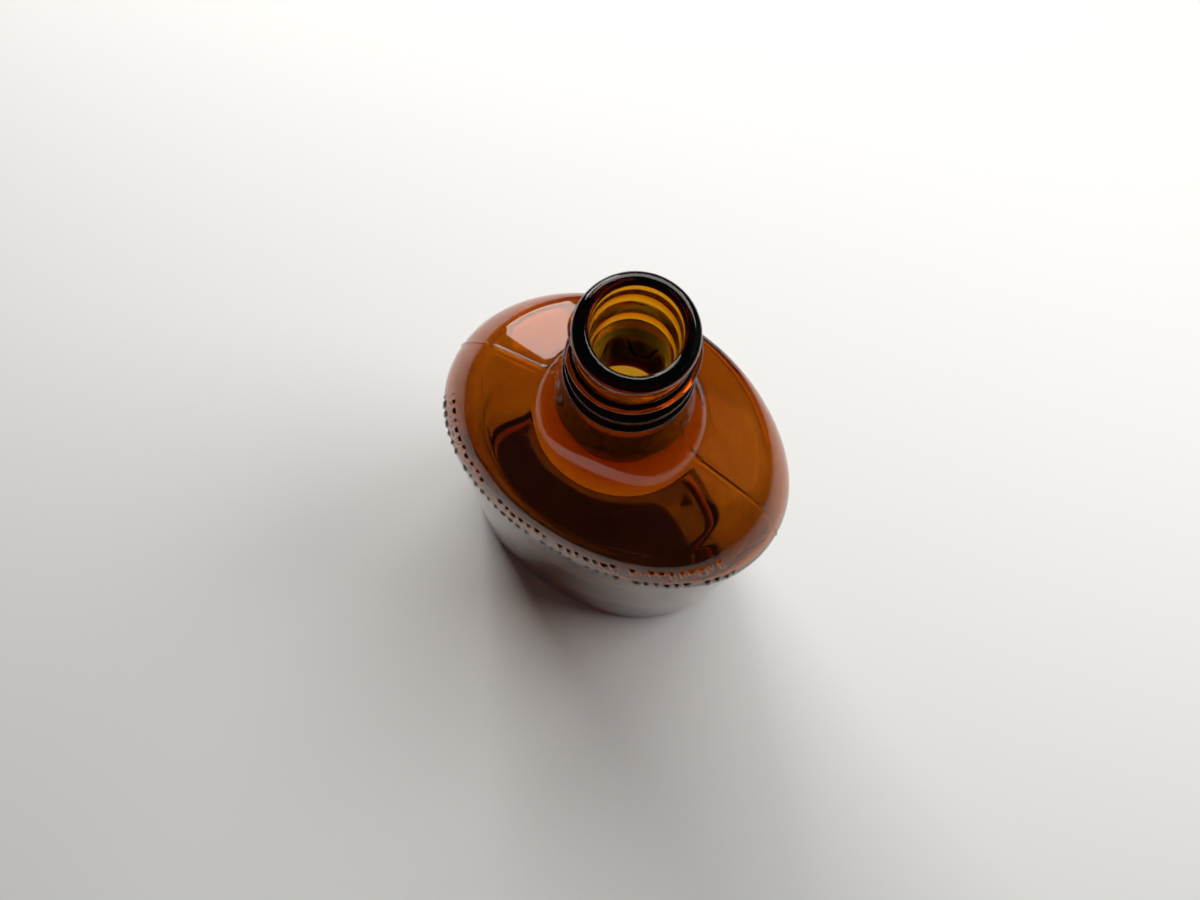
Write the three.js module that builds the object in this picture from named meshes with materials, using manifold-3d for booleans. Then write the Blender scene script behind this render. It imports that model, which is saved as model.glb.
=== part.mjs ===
// Oval moulded-glass bottle with a threaded mouth, for spirits. Millimetres, +Z up.
// The origin is the middle of the base on the table. +X runs along the oval to a side seam, the front faces -Y.
// The glass is blown in a mould of two halves with a neck ring and a bottom plate. The pieces below are its
// zones: they meet on the mould's own joint lines, level planes and the parting plane Y = 0.
import * as THREE from "three";
import Module from "manifold-3d";

// Body
const bodyWidth = 100.4; // across the two side seams
const bodyDepth = 70.2; // front to back
const ovalExponent = 2.11; // 2 is an ellipse, more is squarer
const wallTop = 109; // level of the widest section, where the shoulder starts
const wallThickness = 4;

// Base
const heelRadius = 5;
const bearingWidth = 4; // flat ring that the bottle stands on
const pushUpRise = 4; // height of the hollow under the base, at its middle
const baseThickness = 7; // glass under the floor
const floorRadius = 8; // rounding inside, between floor and wall
const baseRim = 2; // straight wall above the roundings, up to the joint with the walls

// Shoulder
const shoulderHeight = 28.5; // from the widest section up to the neck
const rootReach = 3.6; // how far the fillet at the neck's root runs out, and
const rootDrop = 3.7; // how far it drops
const innerRootReach = 5;
const innerRootDrop = 7.5;
const crownRise = 1.2; // how slowly the shoulder starts to fall
const crownRound = 1.85; // how full its edge is

// Neck
const neckHeight = 26;
const neckFlare = 6.4; // radius gained from the top of the neck to its root
const neckShelf = 1.7; // how far the neck's top stands out from the wall of the finish
const neckRootWall = 6.8; // glass at the root of the neck

// Finish: the moulded mouth, from the neck up to the lip
const threadDiameter = 27.6;
const threadDepth = 1.6;
const threadPitch = 4.23; // six turns to the inch
const threadTurns = 1.1;
const threadStart = 190; // degrees from +X to its lower end
const threadRoot = 2.6; // height of the thread where it leaves the wall
const threadCrest = 1; // height of its rounded top
const threadRunOut = 0.08; // share of the thread, at each end, over which it fades
const boreDiameter = 18.2;
const lipHeight = 4;
const lipProjection = 0.4; // the lip's edge beyond the wall of the finish
const lipOuterRound = 1.6; // rounding of the lip's outer edge, and
const lipInnerRound = 0.7; // of the edge of the bore
const threadZoneHeight = 10.3;
const lockingRingHeight = 4.7;
const lockingRingProjection = 1.7;
const lockingRingCrest = 1.6; // height of the ring's flat top
const beadHeight = 6;
const beadProjection = 2.1;
const beadCrest = 1.8;

// Fineness of the round shapes
const sides = 48;
const arcSteps = 4;
const crownSteps = 9;
const domeSteps = 3;
const threadStepsPerTurn = 36;

// Levels and radii that follow from these
const baseHeight = Math.max(heelRadius, baseThickness + floorRadius) + baseRim;
const neckBottom = wallTop + shoulderHeight;
const neckTop = neckBottom + neckHeight;
const beadTop = neckTop + beadHeight;
const lockingRingTop = beadTop + lockingRingHeight;
const lipBottom = lockingRingTop + threadZoneHeight;
const lipTop = lipBottom + lipHeight;
const boreRadius = boreDiameter / 2;
const finishRadius = threadDiameter / 2 - threadDepth;
const neckTopRadius = finishRadius + neckShelf;
const neckRootRadius = neckTopRadius + neckFlare;
const innerRootRadius = neckRootRadius - neckRootWall;

// A level section of the glass: a round one, and one set in from the body's oval by the same amount all round.
const round = (radius, z) => ({ halfWidth: radius, halfDepth: radius, exponent: 2, z });

function oval(inset, z) {
  return { halfWidth: bodyWidth / 2 - inset, halfDepth: bodyDepth / 2 - inset, exponent: ovalExponent, z };
}

// A section part of the way from one to another, in shape but not in level.
function between(from, to, share, z) {
  const mix = (key) => from[key] + (to[key] - from[key]) * share;
  return { halfWidth: mix("halfWidth"), halfDepth: mix("halfDepth"), exponent: mix("exponent"), z };
}

// Points of a quarter turn, as shares across and up, from the foot of a rounding to its side.
function quarterTurn() {
  return Array.from({ length: arcSteps + 1 }, (_, i) => {
    const angle = (Math.PI / 2) * (i / arcSteps);
    return { across: Math.sin(angle), up: 1 - Math.cos(angle) };
  });
}

// The fillet at the root of the neck: it leaves the neck's slope and ends level.
function rootFillet(radius, slope, reach, drop) {
  const start = new THREE.Vector2(radius, neckBottom);
  const corner = new THREE.Vector2(radius + slope * drop, neckBottom - drop);
  const end = new THREE.Vector2(radius + reach, neckBottom - drop);
  return new THREE.QuadraticBezierCurve(start, corner, end).getPoints(arcSteps).map((p) => round(p.x, p.y));
}

// The crown of the shoulder, from the fillet's end out and down to the widest section.
function crown(top, widest) {
  return Array.from({ length: crownSteps }, (_, i) => {
    const share = Math.sin((Math.PI / 2) * ((i + 1) / crownSteps));
    const fall = 1 - Math.pow(1 - Math.pow(share, crownRise), 1 / crownRound);
    return between(top, widest, share, top.z - (top.z - widest.z) * fall);
  });
}

// The inside and outside of the shoulder, from the neck down.
function shoulderLine(radius, topRadius, reach, drop, inset) {
  const slope = (radius - topRadius) / neckHeight;
  const fillet = rootFillet(radius, slope, reach, drop);
  return [...fillet, ...crown(fillet[fillet.length - 1], oval(inset, wallTop))];
}

// A point of a section, at an angle from +X. A sine or cosine this small is a rounded zero.
const tiny = 1e-9;

function pointOn(section, angle) {
  const along = (value, half) => {
    const size = Math.abs(value) < tiny ? 0 : Math.pow(Math.abs(value), 2 / section.exponent);
    return Math.sign(value) * half * size;
  };
  return [along(Math.cos(angle), section.halfWidth), along(Math.sin(angle), section.halfDepth), section.z];
}

// Joins columns of points into a closed surface. Each column is the same closed outline at the next angle.
// Points on the axis are shared by all columns. A run shorter than a whole turn gets an end at each side.
function skin(columns, wholeTurn, outline) {
  const count = outline.length;
  const index = [];
  const onAxis = (i) => columns[0][i][0] === 0 && columns[0][i][1] === 0;
  const vertex = (column, i) => (onAxis(i) ? i : (column % columns.length) * count + i);
  const steps = wholeTurn ? columns.length : columns.length - 1;
  for (let step = 0; step < steps; step++) {
    for (let i = 0; i < count; i++) {
      const next = (i + 1) % count;
      const [a, b] = [vertex(step, i), vertex(step + 1, i)];
      const [c, d] = [vertex(step + 1, next), vertex(step, next)];
      if (a !== b) index.push(a, b, c);
      if (c !== d) index.push(a, c, d);
    }
  }
  if (!wholeTurn) {
    const last = (columns.length - 1) * count;
    THREE.ShapeUtils.triangulateShape(outline, []).forEach(([a, b, c]) => {
      index.push(a, b, c);
      index.push(last + a, last + c, last + b);
    });
  }
  const geometry = new THREE.BufferGeometry();
  geometry.setAttribute("position", new THREE.Float32BufferAttribute(columns.flat(2), 3));
  geometry.setIndex(index);
  return geometry;
}

// Sweeps sections, in order round their outline, about the bottle's axis. Seen with +X to the right, the
// outline runs anticlockwise. One that goes from axis to axis makes a solid without a hole.
function sweep(sections, startAngle = 0, turn = 2 * Math.PI) {
  const wholeTurn = turn === 2 * Math.PI;
  const steps = Math.round((sides * turn) / (2 * Math.PI));
  const columns = Array.from({ length: wholeTurn ? steps : steps + 1 }, (_, step) => {
    return sections.map((section) => pointOn(section, startAngle + (turn * step) / steps));
  });
  return skin(columns, wholeTurn, sections.map((section) => new THREE.Vector2(section.halfWidth, section.z)));
}

// The mouth's rim: rounded at its edges, with a level land on top where the closure seals.
function lipOutline() {
  const edgeRadius = finishRadius + lipProjection;
  const outer = quarterTurn().map(({ across, up }) => {
    return round(edgeRadius - lipOuterRound * up, lipTop - lipOuterRound * (1 - across));
  });
  const inner = quarterTurn().map(({ across, up }) => {
    return round(boreRadius + lipInnerRound * up, lipTop - lipInnerRound * (1 - across));
  });
  return [
    round(finishRadius, lipBottom),
    round(edgeRadius, lipBottom + lipProjection),
    ...outer,
    ...inner.reverse(),
    round(boreRadius, lipBottom),
  ];
}

// A ring that stands out from the wall of the finish, with a flat top and sloping sides.
function ringOutline(bottom, bottomRadius, height, projection, crestHeight) {
  const flank = (height - crestHeight) / 2;
  const crestRadius = finishRadius + projection;
  return [
    round(boreRadius, bottom),
    round(bottomRadius, bottom),
    round(crestRadius, bottom + flank),
    round(crestRadius, bottom + flank + crestHeight),
    round(finishRadius, bottom + height),
    round(boreRadius, bottom + height),
  ];
}

// The plain wall that carries the thread.
function threadZoneOutline() {
  return [
    round(boreRadius, lockingRingTop),
    round(finishRadius, lockingRingTop),
    round(finishRadius, lipBottom),
    round(boreRadius, lipBottom),
  ];
}

// One right-hand thread: a tapered bar wound on the wall, sunk into half the glass there, faded at both ends.
function threadBar() {
  const steps = Math.round(threadStepsPerTurn * threadTurns);
  const sunk = (finishRadius - boreRadius) / 2;
  const middle = (lockingRingTop + lipBottom) / 2;
  const outline = (depth) => [
    new THREE.Vector2(finishRadius - sunk, -threadRoot / 2),
    new THREE.Vector2(finishRadius, -threadRoot / 2),
    new THREE.Vector2(finishRadius + depth, -threadCrest / 2),
    new THREE.Vector2(finishRadius + depth, threadCrest / 2),
    new THREE.Vector2(finishRadius, threadRoot / 2),
    new THREE.Vector2(finishRadius - sunk, threadRoot / 2),
  ];
  const columns = Array.from({ length: steps + 1 }, (_, step) => {
    const share = step / steps;
    const angle = THREE.MathUtils.degToRad(threadStart) + 2 * Math.PI * threadTurns * share;
    const level = middle + threadPitch * threadTurns * (share - 0.5);
    const fade = Math.min(1, share / threadRunOut, (1 - share) / threadRunOut);
    return outline(threadDepth * fade).map((p) => [p.x * Math.cos(angle), p.x * Math.sin(angle), level + p.y]);
  });
  return skin(columns, false, outline(threadDepth));
}

function neckOutline() {
  return [
    round(innerRootRadius, neckBottom),
    round(neckRootRadius, neckBottom),
    round(neckTopRadius, neckTop),
    round(boreRadius, neckTop),
  ];
}

function shoulderOutline() {
  const outside = shoulderLine(neckRootRadius, neckTopRadius, rootReach, rootDrop, 0);
  const inside = shoulderLine(innerRootRadius, boreRadius, innerRootReach, innerRootDrop, wallThickness);
  return [...inside, ...outside.reverse()];
}

function wallOutline() {
  return [
    oval(wallThickness, baseHeight),
    oval(0, baseHeight),
    oval(0, wallTop),
    oval(wallThickness, wallTop),
  ];
}

// The base: a hollow under the middle, a flat ring to stand on, the rounded heel, and the floor inside.
function baseOutline() {
  const hollowRim = oval(heelRadius + bearingWidth, 0);
  const floorRim = oval(wallThickness + floorRadius, 0);
  const centre = { halfWidth: 0, halfDepth: 0, exponent: ovalExponent };
  const dome = (rim, level) => Array.from({ length: domeSteps }, (_, i) => {
    const share = 1 - (i + 1) / (domeSteps + 1);
    return between(centre, rim, share, level + pushUpRise * (1 - share * share));
  });
  const heel = quarterTurn().map(({ across, up }) => oval(heelRadius * (1 - across), heelRadius * up));
  const floor = quarterTurn().map(({ across, up }) => {
    return oval(wallThickness + floorRadius * (1 - across), baseThickness + floorRadius * up);
  });
  return [
    { ...centre, z: pushUpRise },
    ...dome(hollowRim, 0).reverse(),
    hollowRim,
    ...heel,
    oval(0, baseHeight),
    oval(wallThickness, baseHeight),
    ...floor.reverse(),
    ...dome(floorRim, baseThickness),
    { ...centre, z: baseThickness + pushUpRise },
  ];
}

// Joins two closed geometries into one.
const wasm = await Module();
wasm.setup();

function solidOf(geometry) {
  const vertProperties = new Float32Array(geometry.getAttribute("position").array);
  const triVerts = new Uint32Array(geometry.getIndex().array);
  return new wasm.Manifold(new wasm.Mesh({ numProp: 3, vertProperties, triVerts }));
}

function join(first, second) {
  const mesh = solidOf(first).add(solidOf(second)).getMesh();
  const geometry = new THREE.BufferGeometry();
  geometry.setAttribute("position", new THREE.BufferAttribute(mesh.vertProperties, 3));
  geometry.setIndex(new THREE.BufferAttribute(mesh.triVerts, 1));
  return geometry;
}

const amberGlass = new THREE.MeshStandardMaterial({
  name: "amber_glass",
  color: 0x7a3a08,
  roughness: 0.05,
  metalness: 0,
  transparent: true,
  opacity: 0.75,
});

const bottle = new THREE.Group();
bottle.name = "bottle";

function addPiece(name, geometry) {
  const piece = new THREE.Mesh(geometry, amberGlass);
  piece.name = name;
  geometry.computeVertexNormals();
  bottle.add(piece);
}

const halfTurn = Math.PI;
const frontStart = Math.PI;
const rearStart = 0;

addPiece("sealing_lip", sweep(lipOutline()));
addPiece("threaded_finish", join(sweep(threadZoneOutline()), threadBar()));
addPiece(
  "locking_ring",
  sweep(ringOutline(beadTop, finishRadius, lockingRingHeight, lockingRingProjection, lockingRingCrest)),
);
addPiece("transfer_bead", sweep(ringOutline(neckTop, neckTopRadius, beadHeight, beadProjection, beadCrest)));
addPiece("neck", sweep(neckOutline()));
addPiece("front_shoulder", sweep(shoulderOutline(), frontStart, halfTurn));
addPiece("rear_shoulder", sweep(shoulderOutline(), rearStart, halfTurn));
addPiece("front_wall", sweep(wallOutline(), frontStart, halfTurn));
addPiece("rear_wall", sweep(wallOutline(), rearStart, halfTurn));
addPiece("base", sweep(baseOutline()));

export default bottle;
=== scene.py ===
# %% [markdown]
# # An oval bottle of amber glass
# The real bottle is one piece of blown glass: an oval body, a crowned shoulder, a flaring neck and a mouth
# with a screw thread. The CAD model has the same shapes as ten solids that touch. Glass bends light at
# every surface it has, so solids that touch would show their joints. This lesson therefore blows the bottle
# once more, as one closed skin with an outside and an inside, and lets that skin stand for all ten solids.

# %% Load the frame
import math

import bpy
import numpy as np
from mathutils import Matrix, Vector


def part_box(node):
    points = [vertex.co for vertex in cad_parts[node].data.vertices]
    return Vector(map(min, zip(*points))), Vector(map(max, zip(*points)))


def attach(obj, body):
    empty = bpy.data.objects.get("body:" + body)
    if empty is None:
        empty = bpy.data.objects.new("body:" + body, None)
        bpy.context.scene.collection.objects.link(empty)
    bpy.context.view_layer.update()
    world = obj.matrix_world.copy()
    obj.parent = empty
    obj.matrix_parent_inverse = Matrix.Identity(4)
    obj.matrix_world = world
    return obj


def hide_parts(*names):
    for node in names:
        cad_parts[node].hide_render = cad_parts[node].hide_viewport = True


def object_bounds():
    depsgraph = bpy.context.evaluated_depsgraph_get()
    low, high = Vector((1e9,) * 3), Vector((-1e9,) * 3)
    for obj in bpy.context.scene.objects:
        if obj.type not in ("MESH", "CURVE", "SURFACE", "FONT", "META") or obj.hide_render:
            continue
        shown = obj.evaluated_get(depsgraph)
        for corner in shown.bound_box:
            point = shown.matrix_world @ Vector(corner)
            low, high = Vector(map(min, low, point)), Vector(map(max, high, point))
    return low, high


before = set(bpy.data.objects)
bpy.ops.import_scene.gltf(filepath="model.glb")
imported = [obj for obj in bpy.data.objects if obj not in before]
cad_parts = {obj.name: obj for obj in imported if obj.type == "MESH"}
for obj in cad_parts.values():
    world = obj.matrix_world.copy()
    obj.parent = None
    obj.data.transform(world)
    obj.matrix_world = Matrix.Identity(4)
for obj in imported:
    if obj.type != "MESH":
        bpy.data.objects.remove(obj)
cad_box = [list(corner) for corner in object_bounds()]
glass_zones = sorted(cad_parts)
print("CAD box in metres:", cad_box)
print("zones of the glass:", ", ".join(glass_zones))

# %% [markdown]
# ## Levels
# A bottle maker draws levels from the table up, in millimetres. Reading them from the loaded solids keeps
# the skin where the CAD is. The few sizes that no box gives, such as the thickness of the glass, are
# written here. They were set from how dark or bright the photograph shows the glass.

# %% Levels and radii, in millimetres
MM = 0.001


def levels_of(zone):
    low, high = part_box(zone)
    return low.z / MM, high.z / MM


def radius_of(zone):
    low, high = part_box(zone)
    return (high.x - low.x) / 2 / MM


lip_bottom, lip_top = levels_of("sealing_lip")
thread_bottom, thread_top = levels_of("threaded_finish")
ring_bottom, ring_top = levels_of("locking_ring")
bead_bottom, bead_top = levels_of("transfer_bead")
neck_bottom, neck_top = levels_of("neck")
wall_bottom, wall_top = levels_of("front_wall")

body_half_width = (cad_box[1][0] - cad_box[0][0]) / 2 / MM
body_half_depth = (cad_box[1][1] - cad_box[0][1]) / 2 / MM
lip_radius = radius_of("sealing_lip")
ring_radius = radius_of("locking_ring")
bead_radius = radius_of("transfer_bead")

OVAL_EXPONENT = 2.11
WALL_THICKNESS = 2.6
SHOULDER_THICKNESS = 4.0
FINISH_RADIUS = 12.2
BORE_RADIUS = 9.1
BORE_DRAFT = 0.4
print(f"lip {lip_top:.1f}, neck {neck_bottom:.1f} to {neck_top:.1f}, shoulder from {wall_top:.1f} mm")

# %% [markdown]
# ## Camera
# The photographer stood close and looked almost straight down, so the mouth is nearly twice as near as the
# table. The camera was fitted to the lip, the outline of the body and the two seams, and is written as a
# place and three turns: round the bottle, down, and a small roll.

# %% Camera
CAMERA_PLACE = Vector((0.02305, -0.06187, 0.34701))
CAMERA_AZIMUTH = math.radians(23.75)
CAMERA_PITCH = math.radians(75.31)
CAMERA_ROLL = math.radians(7.89)
FOCAL_PIXELS = 902.4
FRAME_PIXELS = 1200
SENSOR_WIDTH = 36.0


def camera_axes(azimuth, pitch, roll):
    forward = Vector((
        -math.sin(azimuth) * math.cos(pitch),
        math.cos(azimuth) * math.cos(pitch),
        -math.sin(pitch),
    ))
    level_right = Vector((math.cos(azimuth), math.sin(azimuth), 0))
    level_up = level_right.cross(forward)
    right = math.cos(roll) * level_right + math.sin(roll) * level_up
    up = math.cos(roll) * level_up - math.sin(roll) * level_right
    return right, up, -forward


camera_data = bpy.data.cameras.new("camera")
camera_data.sensor_width = SENSOR_WIDTH
camera_data.lens = SENSOR_WIDTH * FOCAL_PIXELS / FRAME_PIXELS
camera_data.clip_start = 0.01
camera = bpy.data.objects.new("camera", camera_data)
turn = Matrix(camera_axes(CAMERA_AZIMUTH, CAMERA_PITCH, CAMERA_ROLL)).transposed()
camera.matrix_world = Matrix.Translation(CAMERA_PLACE) @ turn.to_4x4()
bpy.context.scene.collection.objects.link(camera)
bpy.context.scene.camera = camera
print(f"lens {camera_data.lens:.2f} mm at {CAMERA_PLACE[:]} m")

# %% [markdown]
# ## Sections
# Every level cut through the bottle is a circle or an oval that is a little fuller than an ellipse. One
# rule makes both: a superellipse, with its exponent at 2 for the circle. A section is kept as half width,
# half depth, exponent and level, and the skin is a long ladder of such sections.

# %% Sections


def round_section(radius, z):
    return np.array([radius, radius, 2.0, z])


def oval_section(inset, z):
    return np.array([body_half_width - inset, body_half_depth - inset, OVAL_EXPONENT, z])


def section_points(section, count):
    half_width, half_depth, exponent, z = section
    angle = np.arange(count) * 2 * math.pi / count
    across, back = np.cos(angle), np.sin(angle)
    x = half_width * np.sign(across) * np.abs(np.round(across, 12)) ** (2 / exponent)
    y = half_depth * np.sign(back) * np.abs(np.round(back, 12)) ** (2 / exponent)
    return np.column_stack([x, y, np.full(count, z)])


print("widest section, mm:", section_points(oval_section(0, wall_top), 4).round(1).tolist())

# %% [markdown]
# ## The mouth
# Molten glass leaves no sharp edge. So the outline of the mouth is drawn as a few straight runs, and every
# corner is eased by an arc of its own radius, as a mould maker would do.

# %% Eased outline


def eased_line(corners, step):
    """Points along straight runs (radius, level, easing), with an arc at each corner between the ends."""
    places = [np.array(corner[:2], float) for corner in corners]
    points = [places[0]]
    for before, here, after, easing in zip(places, places[1:], places[2:], [c[2] for c in corners[1:]]):
        heading_in = math.atan2(*(here - before)[::-1])
        heading_out = math.atan2(*(after - here)[::-1])
        bend = (heading_out - heading_in + math.pi) % (2 * math.pi) - math.pi
        reach = easing * math.tan(abs(bend) / 2)
        start = here - reach * np.array([math.cos(heading_in), math.sin(heading_in)])
        points += straight_run(points[-1], start, step)
        side = math.copysign(easing, bend)
        steps = max(3, math.ceil(easing * abs(bend) / step))
        for share in np.linspace(0, 1, steps + 1)[1:]:
            heading = heading_in + bend * share
            swing_across = math.sin(heading) - math.sin(heading_in)
            swing_up = math.cos(heading_in) - math.cos(heading)
            points.append(start + side * np.array([swing_across, swing_up]))
    return points + straight_run(points[-1], places[-1], step)


def straight_run(start, end, step):
    count = max(1, math.ceil(np.linalg.norm(end - start) / step))
    return [start + (end - start) * share for share in np.linspace(0, 1, count + 1)[1:]]


MOUTH_STEP = 0.32
ring_flank = (ring_top - ring_bottom - 1.6) / 2
bead_flank = (bead_top - bead_bottom - 1.8) / 2
mouth_corners = [
    (BORE_RADIUS, lip_bottom, 0),
    (BORE_RADIUS, lip_top, 1.0),
    (lip_radius, lip_top, 1.8),
    (lip_radius, lip_bottom + 0.5, 0.5),
    (FINISH_RADIUS, lip_bottom, 0.5),
    (FINISH_RADIUS, ring_top, 0.6),
    (ring_radius, ring_top - ring_flank, 0.7),
    (ring_radius, ring_bottom + ring_flank, 0.7),
    (FINISH_RADIUS, ring_bottom, 0.5),
    (bead_radius, bead_top - bead_flank, 0.7),
    (bead_radius, bead_bottom, 0),
]
mouth = [round_section(radius, z) for radius, z in eased_line(mouth_corners, MOUTH_STEP)]
print("rings round the mouth:", len(mouth))

# %% [markdown]
# ## Neck and shoulder
# The neck starts at the bead, widens evenly on its way down and flares at its root. Seen from the front the
# shoulder falls gently towards the narrow sides, and seen from the side it falls steeply. So the hollow
# that joins neck and shoulder is drawn twice, once for each view, and every level section there is the oval
# that touches both.

# %% Neck, and the hollow at its root
NECK_TAPER = 1.8
NECK_FLARE = 3.0
FLARE_POWER = 3.6
INNER_TAPER = 1.0
INNER_FLARE = 1.6
INNER_FLARE_POWER = 9.0
CROWN_RADIUS = 22.5
CROWN_DROP = 4.3
CROWN_SLOPE = 0.44
CROWN_EDGE = 0.58
CROWN_FULLNESS = 1.6
crown_level = neck_bottom - CROWN_DROP
neck_height = neck_top - neck_bottom


def levels_down(top, bottom, step):
    return np.linspace(top, bottom, math.ceil((top - bottom) / step) + 1)[1:]


def neck_sections(radius, taper, flare, power, levels):
    """Round sections that widen evenly by the taper, and late by the flare."""
    share = (neck_top - levels) / neck_height
    return [round_section(r, z) for r, z in zip(radius + taper * share + flare * share ** power, levels)]


def hollow_line(start, spread, end, half, fullness, levels):
    """Radii at levels, on a parabola from the neck's spread per level into the slope of the crown."""
    slope = CROWN_SLOPE * (end[1] - wall_top) / (half - end[0]) / fullness
    meeting = (start[1] - end[1] + start[0] / spread - slope * end[0]) / (1 / spread - slope)
    corner = (meeting, start[1] - (meeting - start[0]) / spread)
    below = start[1] - levels
    first = 2 * (start[1] - corner[1])
    second = start[1] - 2 * corner[1] + end[1]
    share = 2 * below / (first + np.sqrt(first ** 2 - 4 * second * below))
    return (1 - share) ** 2 * start[0] + 2 * share * (1 - share) * corner[0] + share ** 2 * end[0]


def hollow_sections(start, spread, end, inset, step):
    levels = levels_down(start[1], end[1], step)
    wide = hollow_line(start, spread, end, body_half_width - inset, 1.0, levels)
    deep = hollow_line(start, spread, end, body_half_depth - inset, CROWN_FULLNESS, levels)
    return [np.array([w, d, 2.0, z]) for w, d, z in zip(wide, deep, levels)]


neck = neck_sections(
    bead_radius, NECK_TAPER, NECK_FLARE, FLARE_POWER, levels_down(mouth[-1][3], neck_bottom, 0.9)
)
root_spread = (NECK_TAPER + NECK_FLARE * FLARE_POWER) / neck_height
root = hollow_sections(neck[-1][[0, 3]], root_spread, (CROWN_RADIUS, crown_level), 0, 0.5)
neck += root
print(f"neck: {len(neck)} rings, {neck[-1][:2].round(2).tolist()} mm half wide and deep at its root")

# %% [markdown]
# The crown changes from that circle to the oval while it falls, ever more steeply. Its rings are set by the
# length along the surface, and closely where it rounds over into the wall, because fine relief will stand
# there.

# %% Crown of the shoulder
RELIEF_BAND = 15.5


def crown_fall(share):
    """How far the crown has fallen: on an even slope at first, then over a rounded edge."""
    turn = np.clip((share - CROWN_EDGE) / (1 - CROWN_EDGE), 0, 1)
    return CROWN_SLOPE * share + (1 - CROWN_SLOPE) * (1 - (1 - turn ** 1.5) ** (1 / 1.6))


def crown_line(top, widest, coarse, fine, band):
    """Sections from the top one to the widest, fine within the band above it, and their climb from it."""
    share = 1 - (1 - np.sin(np.linspace(0, 1, 4001) * math.pi / 2)) ** 2
    forward = 1 - (1 - share) ** CROWN_FULLNESS
    depth = top[1] + (widest[1] - top[1]) * forward
    z = top[3] - (top[3] - widest[3]) * crown_fall(share)
    length = np.concatenate([[0], np.cumsum(np.hypot(np.diff(depth), np.diff(z)))])
    bend = length[-1] - band
    stops = np.linspace(0, bend, math.ceil(bend / coarse) + 1)[1:]
    if band:
        stops = np.concatenate([stops, np.linspace(bend, length[-1], math.ceil(band / fine) + 1)[1:]])
    sections = []
    for stop in stops:
        section = top + (widest - top) * np.interp(stop, length, share)
        section[1] = np.interp(stop, length, depth)
        section[3] = np.interp(stop, length, z)
        sections.append(section)
    return sections, length[-1] - stops


crown, climb = crown_line(neck[-1], oval_section(0, wall_top), 1.0, 0.42, RELIEF_BAND)
band_level = np.interp(RELIEF_BAND, climb[::-1], [section[3] for section in crown][::-1])
print(f"crown: {len(crown)} rings, the fine ones from level {band_level:.1f} mm down")

# %% [markdown]
# ## Wall and base
# Below the shoulder the wall goes straight down to a rounded heel. The bottle stands on a flat ring, and
# the middle of its base is pushed up, so that it does not rock.

# %% Wall, heel and the hollow under the base
HEEL_RADIUS = 5.0
BEARING_WIDTH = 4.0
PUSH_UP = 4.0


def dome_line(rim, rise, count):
    """Sections from a rim in towards the middle, rising on a parabola, without the middle point itself."""
    sections = []
    for share in np.linspace(1, 0, count + 1)[1:-1]:
        level = rim[3] + rise * (1 - share ** 2)
        sections.append(np.array([rim[0] * share, rim[1] * share, rim[2], level]))
    return sections


wall = [oval_section(0, z) for z in np.linspace(wall_top, HEEL_RADIUS, 26)[1:]]
heel = [
    oval_section(HEEL_RADIUS * (1 - math.cos(a)), HEEL_RADIUS * (1 - math.sin(a)))
    for a in np.linspace(0, math.pi / 2, 10)[1:]
]
bearing = [oval_section(HEEL_RADIUS + BEARING_WIDTH * share, 0) for share in (0.5, 1.0)]
hollow = dome_line(bearing[-1], PUSH_UP, 12)
print("rings on wall, heel and underside:", len(wall), len(heel), len(bearing) + len(hollow))

# %% [markdown]
# ## The inside
# The inside follows the outside, but not everywhere at the same distance: the wall is thin, the shoulder is
# thicker towards the neck, and the neck and the base are the thickest. The bore narrows a little below the
# lip and opens again in the neck, more slowly than the outside does. Light that enters the neck is then
# caught in its wall, and that is why the neck looks dark. The inside is a second line of sections, from the
# floor up to the bore.

# %% Inside, from the floor up
FLOOR_LEVEL = 9.5
FLOOR_RADIUS = 4.0

floor_rim = oval_section(WALL_THICKNESS + FLOOR_RADIUS, FLOOR_LEVEL)
inner_floor = dome_line(floor_rim, PUSH_UP, 12)[::-1] + [floor_rim]
inner_round = []
for a in np.linspace(0, math.pi / 2, 12)[1:]:
    inset = WALL_THICKNESS + FLOOR_RADIUS * (1 - math.sin(a))
    inner_round.append(oval_section(inset, FLOOR_LEVEL + FLOOR_RADIUS * (1 - math.cos(a))))
inner_levels = np.linspace(FLOOR_LEVEL + FLOOR_RADIUS, wall_top, 22)[1:]
inner_wall = [oval_section(WALL_THICKNESS, z) for z in inner_levels]
narrowest = BORE_RADIUS - BORE_DRAFT
inner_neck_levels = levels_down(neck_top, neck_bottom, 1.1)
inner_neck = neck_sections(narrowest, INNER_TAPER, INNER_FLARE, INNER_FLARE_POWER, inner_neck_levels)
inner_spread = (INNER_TAPER + INNER_FLARE * INNER_FLARE_POWER) / neck_height
inner_end = (CROWN_RADIUS - 0.4 * SHOULDER_THICKNESS, crown_level - 0.9 * SHOULDER_THICKNESS)
inner_neck += hollow_sections(inner_neck[-1][[0, 3]], inner_spread, inner_end, WALL_THICKNESS, 0.7)
inner_crown, _ = crown_line(inner_neck[-1], oval_section(WALL_THICKNESS, wall_top), 1.2, 1.2, 0)
bore = [
    round_section(BORE_RADIUS - BORE_DRAFT * (lip_bottom - z) / (lip_bottom - neck_top), z)
    for z in np.linspace(neck_top, lip_bottom, 10)
]
inside = inner_floor + inner_round + inner_wall
inside += inner_crown[-2::-1] + inner_neck[::-1] + bore
print("rings inside:", len(inside))

# %% [markdown]
# ## One closed skin
# The ladder runs from the middle of the floor up the inside, over the lip, down the outside and under the
# base. Where relief needs fine points the rings have three times as many, and a row of triangles joins the
# two counts.

# %% Faces between two rings
COARSE_COUNT = 216
FINE_COUNT = 3 * COARSE_COUNT


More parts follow.
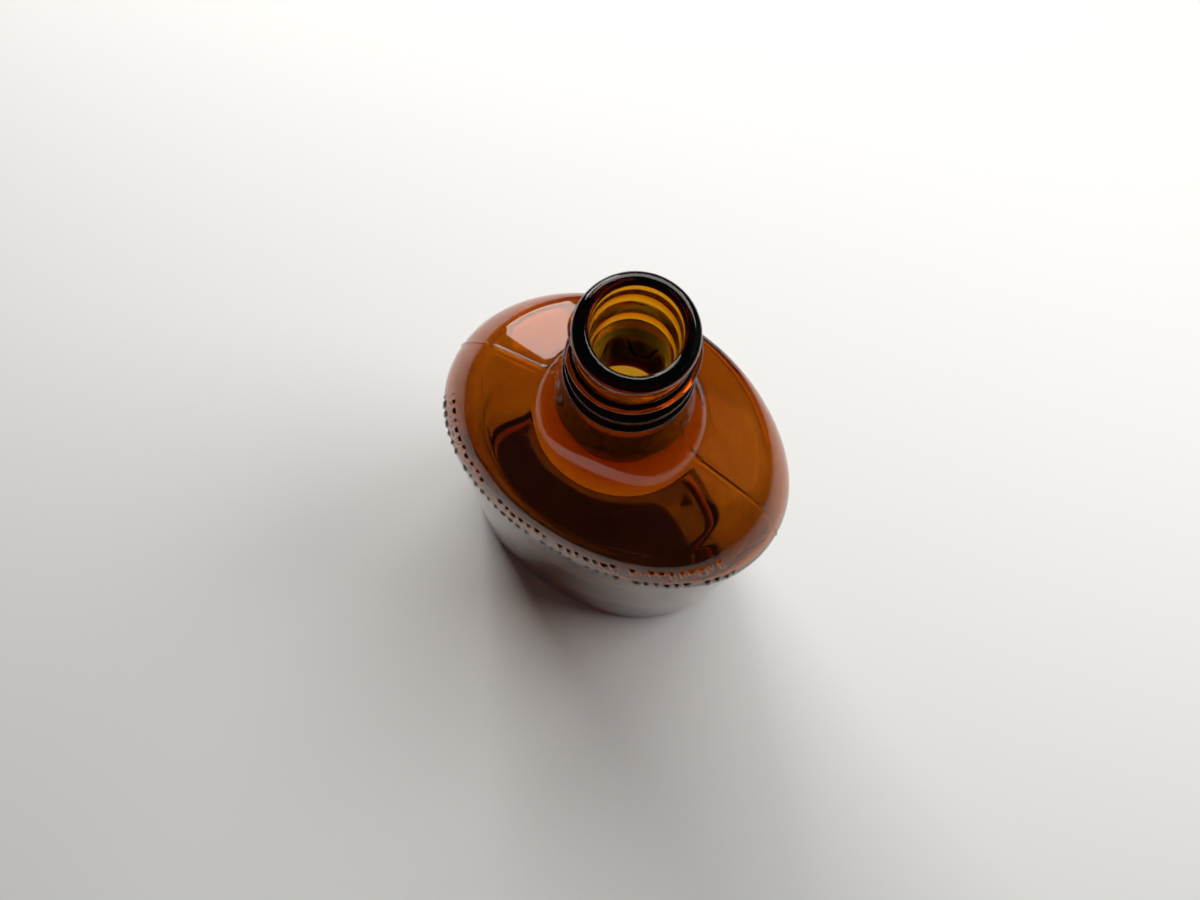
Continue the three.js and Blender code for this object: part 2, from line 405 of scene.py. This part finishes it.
def bridge(first, second):
    """Faces between two rings of point numbers, whose counts are the same or differ by a factor of three."""
    faces = []
    if len(first) == len(second):
        for i in range(len(first)):
            j = (i + 1) % len(first)
            faces.append((first[i], second[i], second[j], first[j]))
    elif len(second) > len(first):
        for i in range(len(first)):
            j = (i + 1) % len(first)
            a, b, c = second[3 * i], second[3 * i + 1], second[3 * i + 2]
            d = second[(3 * i + 3) % len(second)]
            faces += [(first[i], a, b), (first[i], b, c, first[j]), (first[j], c, d)]
    else:
        for i in range(len(second)):
            j = (i + 1) % len(second)
            a, b, c = first[3 * i], first[3 * i + 1], first[3 * i + 2]
            d = first[(3 * i + 3) % len(first)]
            faces += [(a, second[i], b), (b, second[i], second[j], c), (c, second[j], d)]
    return faces


print("points on a ring:", COARSE_COUNT, "or", FINE_COUNT)

# %% [markdown]
# Three numbers stay on every point for later: whether it lies inside, how far round the oval it is, and how
# far it has climbed from the widest section along the surface.

# %% Points of all rings


def way_round(count):
    """Distance round the widest section from the middle of the front, for each point of a ring."""
    fine = section_points(oval_section(0, wall_top), 4 * FINE_COUNT)
    steps = np.linalg.norm(np.roll(fine, -1, axis=0) - fine, axis=1)
    distance = np.concatenate([[0], np.cumsum(steps)[:-1]])
    whole = steps.sum()
    distance = (distance - 0.75 * whole + whole / 2) % whole - whole / 2
    return distance[:: 4 * FINE_COUNT // count]


outside = mouth[1:] + neck + crown + wall + heel + bearing + hollow
ladder = inside + outside
no_climb = -1000.0
first_fine = len(inside) + len(mouth) - 1 + len(neck)
climb_of = [no_climb] * first_fine + list(climb)
climb_of += [section[3] - wall_top for section in wall]
climb_of += [no_climb] * (len(ladder) - len(climb_of))
last_fine = first_fine + len(crown)

points = [[(0, 0, FLOOR_LEVEL + PUSH_UP)]]
rings, faces = [], []
is_inside, along, climbed = [1.0], [0.0], [no_climb]
for number, section in enumerate(ladder):
    count = FINE_COUNT if first_fine <= number < last_fine else COARSE_COUNT
    start = sum(len(block) for block in points)
    points.append(section_points(section, count))
    rings.append(list(range(start, start + count)))
    is_inside += [1.0 if number < len(inside) else 0.0] * count
    along += list(way_round(count))
    climbed += [climb_of[number]] * count
points.append([(0, 0, PUSH_UP)])
is_inside.append(0.0)
along.append(0.0)
climbed.append(no_climb)
all_points = np.concatenate(points) * MM
last_point = len(all_points) - 1
print("points on the skin:", len(all_points))

# %% [markdown]
# A fan of triangles closes the middle of the floor, bridges join ring to ring, and a second fan closes the
# middle of the underside. With no edge left open the skin holds a volume, which coloured glass needs.

# %% Faces of the skin
faces += [(0, a, b) for a, b in zip(rings[0], rings[0][1:] + rings[0][:1])]
for lower, upper in zip(rings, rings[1:]):
    faces += bridge(lower, upper)
faces += [(a, last_point, b) for a, b in zip(rings[-1], rings[-1][1:] + rings[-1][:1])]

skin_mesh = bpy.data.meshes.new("bottle_glass")
skin_mesh.from_pydata(all_points.tolist(), [], faces)
for name, values in (("inside", is_inside), ("along", along), ("climb", climbed)):
    attribute = skin_mesh.attributes.new(name, "FLOAT", "POINT")
    attribute.data.foreach_set("value", np.array(values, np.float32))
skin_mesh.shade_smooth()
bottle = bpy.data.objects.new("bottle_glass", skin_mesh)
bpy.context.scene.collection.objects.link(bottle)
print(f"skin: {len(all_points)} points, {sum(len(f) - 2 for f in faces)} triangles")

# %% [markdown]
# ## Node helpers
# Geometry Nodes and shader nodes are wired in the same way, so three small helpers serve both: one adds a
# node, one feeds a socket with a link or a number, and one adds a calculation.

# %% Node helpers


def add_node(tree, kind, **settings):
    node = tree.nodes.new(kind)
    for name, value in settings.items():
        setattr(node, name, value)
    return node


def feed(tree, socket, value):
    if isinstance(value, bpy.types.NodeSocket):
        tree.links.new(value, socket)
    else:
        socket.default_value = value


def calc(tree, operation, *values):
    node = add_node(tree, "ShaderNodeMath", operation=operation)
    for socket, value in zip(node.inputs, values):
        feed(tree, socket, value)
    return node.outputs[0]


def ease(tree, value, start, end):
    """0 before start and 1 past end, with a soft S between them."""
    node = add_node(tree, "ShaderNodeMapRange", interpolation_type="SMOOTHSTEP")
    for name, given in (("Value", value), ("From Min", start), ("From Max", end)):
        feed(tree, node.inputs[name], given)
    return node.outputs["Result"]


# %% [markdown]
# ## Relief
# Four things stand on the skin: the thread winds round the mouth, a seam runs up both narrow sides where
# the mould halves met, two rows of short raised bars follow the edge of the shoulder, and the inside is
# slightly uneven, because blown glass is. All of them follow the surface, so one Geometry Nodes tree moves
# the skin's points along their normals. Its inputs are the sizes a mould maker would ask for.

# %% Relief tree
relief = bpy.data.node_groups.new("bottle_relief", "GeometryNodeTree")
relief.interface.new_socket("Geometry", in_out="INPUT", socket_type="NodeSocketGeometry")
relief.interface.new_socket("Geometry", in_out="OUTPUT", socket_type="NodeSocketGeometry")
relief_sizes = {
    "Thread Depth": 1.6,
    "Thread Pitch": 4.23,
    "Thread Turns": 1.1,
    "Thread Start": math.radians(190),
    "Thread Middle": (thread_bottom + thread_top) / 2,
    "Thread Root": 3.1,
    "Thread Crest": 0.7,
    "Thread Fade": 0.09,
    "Seam Height": 0.3,
    "Seam Width": 0.9,
    "Bar Height": 0.45,
    "Bar Pitch": 2.7,
    "Lower Row": 3.2,
    "Upper Row": 10.6,
    "Row Height": 3.6,
    "Row Reach": 52.0,
    "Unevenness": 0.5,
    "Seed": 7.0,
}
for name in relief_sizes:
    relief.interface.new_socket(name, in_out="INPUT", socket_type="NodeSocketFloat")
relief.interface.new_socket("Glass", in_out="INPUT", socket_type="NodeSocketMaterial")
given = add_node(relief, "NodeGroupInput").outputs
position = add_node(relief, "GeometryNodeInputPosition").outputs[0]
in_mm = add_node(relief, "ShaderNodeVectorMath", operation="SCALE")
feed(relief, in_mm.inputs[0], position)
in_mm.inputs["Scale"].default_value = 1 / MM
place = add_node(relief, "ShaderNodeSeparateXYZ")
feed(relief, place.inputs[0], in_mm.outputs[0])
x, y, z = place.outputs


def stored(name):
    node = add_node(relief, "GeometryNodeInputNamedAttribute", data_type="FLOAT")
    node.inputs["Name"].default_value = name
    return node.outputs["Attribute"]


outer_side = calc(relief, "SUBTRACT", 1.0, stored("inside"))
print("relief inputs:", ", ".join(relief_sizes))

# %% [markdown]
# The thread is one turn and a little more. Seen from above it rises as it goes anticlockwise, so it takes a
# normal right-hand cap. Each point asks how far round it is from the thread's start and how far above or
# below the thread's middle line it lies. The thread overlaps itself for a tenth of a turn, so the question
# is asked twice.

# %% Thread height
angle = calc(relief, "ARCTAN2", y, x)
from_start = calc(relief, "DIVIDE", calc(relief, "SUBTRACT", angle, given["Thread Start"]), 2 * math.pi)
first_lap = calc(relief, "FRACT", from_start)


def lap_height(lap):
    turned = calc(relief, "ADD", first_lap, float(lap))
    share = calc(relief, "DIVIDE", turned, given["Thread Turns"])
    half_way = calc(relief, "MULTIPLY", given["Thread Turns"], 0.5)
    rise = calc(relief, "MULTIPLY", given["Thread Pitch"], calc(relief, "SUBTRACT", turned, half_way))
    middle = calc(relief, "ADD", given["Thread Middle"], rise)
    off = calc(relief, "ABSOLUTE", calc(relief, "SUBTRACT", z, middle))
    root = calc(relief, "MULTIPLY", given["Thread Root"], 0.5)
    crest = calc(relief, "MULTIPLY", given["Thread Crest"], 0.5)
    flank = ease(relief, off, root, crest)
    fade_in = ease(relief, share, 0.0, given["Thread Fade"])
    fade_out = ease(relief, calc(relief, "SUBTRACT", 1.0, share), 0.0, given["Thread Fade"])
    return calc(relief, "MULTIPLY", flank, calc(relief, "MULTIPLY", fade_in, fade_out))


both_laps = calc(relief, "MAXIMUM", lap_height(0), lap_height(1))
thread_height = calc(relief, "MULTIPLY", both_laps, given["Thread Depth"])
print("thread: one start, right-hand,", relief_sizes["Thread Turns"], "turns")

# %% [markdown]
# The seam is a low rounded ridge on the parting plane, Y = 0. It runs from the heel to the bead, and a hair
# of mismatch between the mould halves is what makes it catch the light.

# %% Seam height
off_plane = calc(relief, "ABSOLUTE", y)
ridge = ease(relief, off_plane, calc(relief, "MULTIPLY", given["Seam Width"], 0.5), 0.1)
on_body = ease(relief, z, bead_bottom + 1, bead_bottom - 1)
off_base = ease(relief, z, 0.6, 3.0)
ridge_here = calc(relief, "MULTIPLY", ridge, calc(relief, "MULTIPLY", on_body, off_base))
seam_height = calc(relief, "MULTIPLY", ridge_here, given["Seam Height"])
print("seam:", relief_sizes["Seam Height"], "mm high")

# %% [markdown]
# The raised bars stand in cells of equal pitch along each row. A random number for each cell, with a fixed
# seed, gives every bar its own width and length, as hand-cut moulds have. The rows stop short of the narrow
# sides.

# %% Raised bars


def random_of(cell, salt):
    node = add_node(relief, "ShaderNodeTexWhiteNoise", noise_dimensions="2D")
    pair = add_node(relief, "ShaderNodeCombineXYZ")
    feed(relief, pair.inputs["X"], cell)
    feed(relief, pair.inputs["Y"], calc(relief, "ADD", given["Seed"], salt))
    feed(relief, node.inputs["Vector"], pair.outputs[0])
    return node.outputs["Value"]


def between(low, high, share):
    return calc(relief, "MULTIPLY_ADD", share, high - low, low)


def bar_row(row_level, salt):
    cells = calc(relief, "DIVIDE", stored("along"), given["Bar Pitch"])
    cell = calc(relief, "FLOOR", cells)
    across = calc(relief, "ABSOLUTE", calc(relief, "SUBTRACT", calc(relief, "FRACT", cells), 0.5))
    width = between(0.12, 0.36, random_of(cell, salt))
    side = ease(relief, across, calc(relief, "ADD", width, 0.05), calc(relief, "SUBTRACT", width, 0.05))
    up = calc(relief, "SUBTRACT", stored("climb"), row_level)
    shift = between(-0.5, 0.5, random_of(cell, salt + 1))
    off = calc(relief, "ABSOLUTE", calc(relief, "ADD", up, shift))
    reach = calc(relief, "MULTIPLY", given["Row Height"], between(0.28, 0.5, random_of(cell, salt + 2)))
    top = ease(relief, off, calc(relief, "ADD", reach, 0.25), calc(relief, "SUBTRACT", reach, 0.25))
    present = calc(relief, "GREATER_THAN", random_of(cell, salt + 3), 0.14)
    return calc(relief, "MULTIPLY", calc(relief, "MULTIPLY", side, top), present)


rows = calc(relief, "MAXIMUM", bar_row(given["Lower Row"], 1.0), bar_row(given["Upper Row"], 11.0))
row_end = calc(relief, "ADD", given["Row Reach"], 0.6)
within = ease(relief, calc(relief, "ABSOLUTE", stored("along")), row_end, given["Row Reach"])
bar_height = calc(relief, "MULTIPLY", calc(relief, "MULTIPLY", rows, within), given["Bar Height"])
print("bars: pitch", relief_sizes["Bar Pitch"], "mm, two rows")

# %% [markdown]
# Inside, a slow noise pushes the surface in and out by half a millimetre below the neck. Light then bends a
# little differently from place to place, and that gives blown glass its restless look.

# %% Uneven inside, and all of it together
noise = add_node(relief, "ShaderNodeTexNoise", noise_dimensions="4D")
feed(relief, noise.inputs["Vector"], position)
feed(relief, noise.inputs["W"], given["Seed"])
noise.inputs["Scale"].default_value = 38.0
noise.inputs["Detail"].default_value = 1.0
below_neck = ease(relief, z, neck_top, neck_bottom)
swing = calc(relief, "MULTIPLY", calc(relief, "SUBTRACT", noise.outputs[0], 0.5), 2.0)
inner_height = calc(relief, "MULTIPLY", calc(relief, "MULTIPLY", swing, below_neck), given["Unevenness"])
inner_height = calc(relief, "MULTIPLY", inner_height, stored("inside"))

above_ring = ease(relief, z, thread_bottom - 1, thread_bottom)
below_lip = ease(relief, z, lip_bottom + 0.6, lip_bottom)
outer_height = calc(relief, "MULTIPLY", thread_height, calc(relief, "MULTIPLY", above_ring, below_lip))
outer_height = calc(relief, "ADD", outer_height, calc(relief, "ADD", seam_height, bar_height))
outer_height = calc(relief, "MULTIPLY", outer_height, outer_side)
height = calc(relief, "MULTIPLY", calc(relief, "ADD", outer_height, inner_height), MM)
normal = add_node(relief, "GeometryNodeInputNormal").outputs[0]
offset = add_node(relief, "ShaderNodeVectorMath", operation="SCALE")
feed(relief, offset.inputs[0], normal)
feed(relief, offset.inputs["Scale"], height)
move = add_node(relief, "GeometryNodeSetPosition")
feed(relief, move.inputs["Geometry"], given["Geometry"])
feed(relief, move.inputs["Offset"], offset.outputs[0])
realize = add_node(relief, "GeometryNodeRealizeInstances")
feed(relief, realize.inputs[0], move.outputs[0])
dress = add_node(relief, "GeometryNodeSetMaterial")
feed(relief, dress.inputs["Geometry"], realize.outputs[0])
feed(relief, dress.inputs["Material"], given["Glass"])
feed(relief, add_node(relief, "NodeGroupOutput").inputs[0], dress.outputs[0])
print("relief tree:", len(relief.nodes), "nodes")

# %% [markdown]
# ## Surface of the glass
# Blown glass is smooth, but not flat. A slow waviness from the mould bends what it mirrors, and a few
# specks of dust lie on it. One shader group makes both, from sizes in millimetres.

# %% Waves
surface = bpy.data.node_groups.new("blown_surface", "ShaderNodeTree")
surface_sizes = {
    "Wave Length": 9.0,
    "Wave Height": 0.025,
    "Dust Spacing": 2.4,
    "Dust Size": 0.13,
    "Smoothness": 0.03,
}
for name in surface_sizes:
    surface.interface.new_socket(name, in_out="INPUT", socket_type="NodeSocketFloat")
surface.interface.new_socket("Roughness", in_out="OUTPUT", socket_type="NodeSocketFloat")
surface.interface.new_socket("Normal", in_out="OUTPUT", socket_type="NodeSocketVector")
asked = add_node(surface, "NodeGroupInput").outputs
where = add_node(surface, "ShaderNodeTexCoord").outputs["Object"]
waves = add_node(surface, "ShaderNodeTexNoise")
feed(surface, waves.inputs["Vector"], where)
feed(surface, waves.inputs["Scale"], calc(surface, "DIVIDE", 1 / MM, asked["Wave Length"]))
waves.inputs["Detail"].default_value = 1.5
bump = add_node(surface, "ShaderNodeBump")
bump.inputs["Distance"].default_value = 1.0
wave_height = calc(surface, "MULTIPLY", asked["Wave Height"], MM)
feed(surface, bump.inputs["Height"], calc(surface, "MULTIPLY", waves.outputs[0], wave_height))
print("surface inputs:", ", ".join(surface_sizes))

# %% [markdown]
# Dust lies in the cells of a Voronoi pattern. Each cell has a random number of its own, and its cube gives
# many fine grains and a few coarse ones. A grain is rough, so it scatters the light.

# %% Dust
dust = add_node(surface, "ShaderNodeTexVoronoi")
feed(surface, dust.inputs["Vector"], where)
feed(surface, dust.inputs["Scale"], calc(surface, "DIVIDE", 1 / MM, asked["Dust Spacing"]))
away = calc(surface, "MULTIPLY", dust.outputs["Distance"], asked["Dust Spacing"])
pick = add_node(surface, "ShaderNodeSeparateColor")
feed(surface, pick.inputs[0], dust.outputs["Color"])
grain = calc(surface, "MULTIPLY", asked["Dust Size"], calc(surface, "POWER", pick.outputs[0], 3.0))
speck = calc(surface, "LESS_THAN", away, grain)
rough = calc(surface, "MULTIPLY_ADD", speck, 0.6, asked["Smoothness"])
given_back = add_node(surface, "NodeGroupOutput").inputs
feed(surface, given_back["Roughness"], rough)
feed(surface, given_back["Normal"], bump.outputs[0])
print("surface group:", len(surface.nodes), "nodes")

# %% [markdown]
# ## Amber glass
# Amber glass gets its colour in its depth: iron and sulphur take out blue first, then green. So the colour
# is a volume absorption. Thin walls glow orange and thick ones go nearly black without being painted.

# %% Amber glass
glass = bpy.data.materials.new("blown_amber_glass")
glass.use_nodes = True
tree = glass.node_tree
shader = tree.nodes["Principled BSDF"]
shader.inputs["Base Color"].default_value = (1.0, 0.96, 0.88, 1.0)
shader.inputs["IOR"].default_value = 1.52
shader.inputs["Transmission Weight"].default_value = 1.0
skin_detail = add_node(tree, "ShaderNodeGroup", node_tree=surface)
for name, value in surface_sizes.items():
    skin_detail.inputs[name].default_value = value
feed(tree, shader.inputs["Roughness"], skin_detail.outputs["Roughness"])
feed(tree, shader.inputs["Normal"], skin_detail.outputs["Normal"])
absorption = add_node(tree, "ShaderNodeVolumeAbsorption")
absorption.inputs["Color"].default_value = (0.8875, 0.7167, 0.0, 1.0)
absorption.inputs["Density"].default_value = 1200.0
output = tree.nodes["Material Output"]
feed(tree, output.inputs["Volume"], absorption.outputs[0])
print("amber glass: depth colour", absorption.inputs["Color"].default_value[:3])

# %% [markdown]
# ## Relief on the skin
# The sizes go into the tree, the tree runs once, and its result becomes the mesh of the bottle. The three
# helper numbers have then done their work and are taken off.

# %% Apply the relief
modifier = bottle.modifiers.new("relief", "NODES")
modifier.node_group = relief
identifiers = {
    item.name: item.identifier
    for item in relief.interface.items_tree
    if item.item_type == "SOCKET" and item.in_out == "INPUT"
}
for name, value in relief_sizes.items():
    modifier[identifiers[name]] = value
modifier[identifiers["Glass"]] = glass
depsgraph = bpy.context.evaluated_depsgraph_get()
finished = bpy.data.meshes.new_from_object(bottle.evaluated_get(depsgraph))
bottle.modifiers.clear()
bottle.data = finished
finished.name = "bottle_glass"
for name in ("inside", "along", "climb"):
    finished.attributes.remove(finished.attributes[name])
finished.shade_smooth()
print("glass in relief:", len(finished.vertices), "points, materials", [m.name for m in finished.materials])

# %% [markdown]
# ## Table and light
# The bottle stands on a plain white table. Glass shows its surroundings more than itself, so they matter as
# much as the material. The table is the brightest thing that the glass shows, from below, through its base
# and walls.

# %% Table
TABLE_SIZE = 1.6
TABLE_GAP = 0.00005
half = TABLE_SIZE / 2
table_mesh = bpy.data.meshes.new("table")
around = ((-half, -half), (half, -half), (half, half), (-half, half))
table_mesh.from_pydata([(x, y, -TABLE_GAP) for x, y in around], [], [(0, 1, 2, 3)])
table = bpy.data.objects.new("table", table_mesh)
bpy.context.scene.collection.objects.link(table)
table_paint = bpy.data.materials.new("table_paint")
table_paint.use_nodes = True
table_shader = table_paint.node_tree.nodes["Principled BSDF"]
table_shader.inputs["Base Color"].default_value = (0.86, 0.86, 0.85, 1.0)
table_shader.inputs["Roughness"].default_value = 0.75
table_mesh.materials.append(table_paint)
print("table:", TABLE_SIZE, "m square")

# %% [markdown]
# Light comes from a window on the left and from a broad one at the back. The left window's mirror image on
# the shoulder is dimmer than the light that it gives, so a second lamp in the same place lights the table
# but isn't mirrored. A fill from the right lifts the shadow, and isn't mirrored either.

# %% Windows


def soft_window(name, direction, distance, width, height, power, colour):
    data = bpy.data.lights.new(name, "AREA")
    data.shape = "RECTANGLE"
    data.size = width
    data.size_y = height
    data.energy = power
    data.color = colour
    lamp = bpy.data.objects.new(name, data)
    direction = Vector(direction).normalized()
    lamp.location = direction * distance + Vector((0, 0, 0.1))
    lamp.rotation_euler = direction.to_track_quat("Z", "Y").to_euler()
    bpy.context.scene.collection.objects.link(lamp)
    return lamp


def towards(azimuth, elevation):
    a, e = math.radians(azimuth), math.radians(elevation)
    return math.cos(a) * math.cos(e), math.sin(a) * math.cos(e), math.sin(e)


soft_window("left_window", towards(142, 27), 0.8, 0.36, 0.36, 2.3, (1.0, 0.98, 0.95))
glow = soft_window("left_glow", towards(142, 27), 0.82, 0.36, 0.36, 1.9, (1.0, 0.98, 0.95))
glow.visible_glossy = False
soft_window("back_window", towards(106, 46), 0.9, 0.68, 0.52, 3.8, (1.0, 0.99, 0.97))
fill = soft_window("right_fill", towards(42, 42), 0.6, 0.42, 0.42, 2.2, (1.0, 0.99, 0.97))
fill.visible_glossy = False
print("lamps:", ", ".join(sorted(lamp.name for lamp in bpy.data.lights)))

# %% [markdown]
# On the near side the room is dark. Photographers make such a side with a black card, so that glass gets
# dark edges. Here the card is seen by mirrored light alone: it casts no shadow and hides nothing from the
# camera.

# %% Dark card
CARD_PLACE = -0.215
CARD_REACH = 0.7
CARD_HEIGHT = 0.4
card_mesh = bpy.data.meshes.new("dark_card")
around = ((-CARD_REACH, 0), (CARD_REACH, 0), (CARD_REACH, CARD_HEIGHT), (-CARD_REACH, CARD_HEIGHT))
card_mesh.from_pydata([(x, CARD_PLACE, z) for x, z in around], [], [(0, 1, 2, 3)])
card = bpy.data.objects.new("dark_card", card_mesh)
bpy.context.scene.collection.objects.link(card)
card_paint = bpy.data.materials.new("card_paint")
card_paint.use_nodes = True
card_shader = card_paint.node_tree.nodes["Principled BSDF"]
card_shader.inputs["Base Color"].default_value = (0.01, 0.01, 0.01, 1.0)
card_shader.inputs["Roughness"].default_value = 0.9
card_mesh.materials.append(card_paint)
card.visible_camera = False
card.visible_diffuse = False
card.visible_transmission = False
card.visible_shadow = False
print("dark card", CARD_PLACE, "m in front of the bottle")

# %% [markdown]
# The rest of the room gives little light. The camera, and what looks out through the glass, see it as a
# pale wall.

# %% Room
DIM_ROOM = 0.03
PALE_ROOM = 0.3
world = bpy.data.worlds.new("room")
bpy.context.scene.world = world
world.use_nodes = True
room = world.node_tree.nodes["Background"]
room.inputs["Color"].default_value = (0.9, 0.95, 1.0, 1.0)
rays = add_node(world.node_tree, "ShaderNodeLightPath").outputs
seen = calc(world.node_tree, "MAXIMUM", rays["Is Camera Ray"], rays["Is Transmission Ray"])
strength = calc(world.node_tree, "MULTIPLY_ADD", seen, PALE_ROOM - DIM_ROOM, DIM_ROOM)
feed(world.node_tree, room.inputs["Strength"], strength)
bpy.context.scene.view_settings.view_transform = "Standard"
print("room:", DIM_ROOM, "as light,", PALE_ROOM, "as seen")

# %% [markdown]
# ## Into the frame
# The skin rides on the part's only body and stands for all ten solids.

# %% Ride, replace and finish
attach(bottle, "root")
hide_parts(*glass_zones)
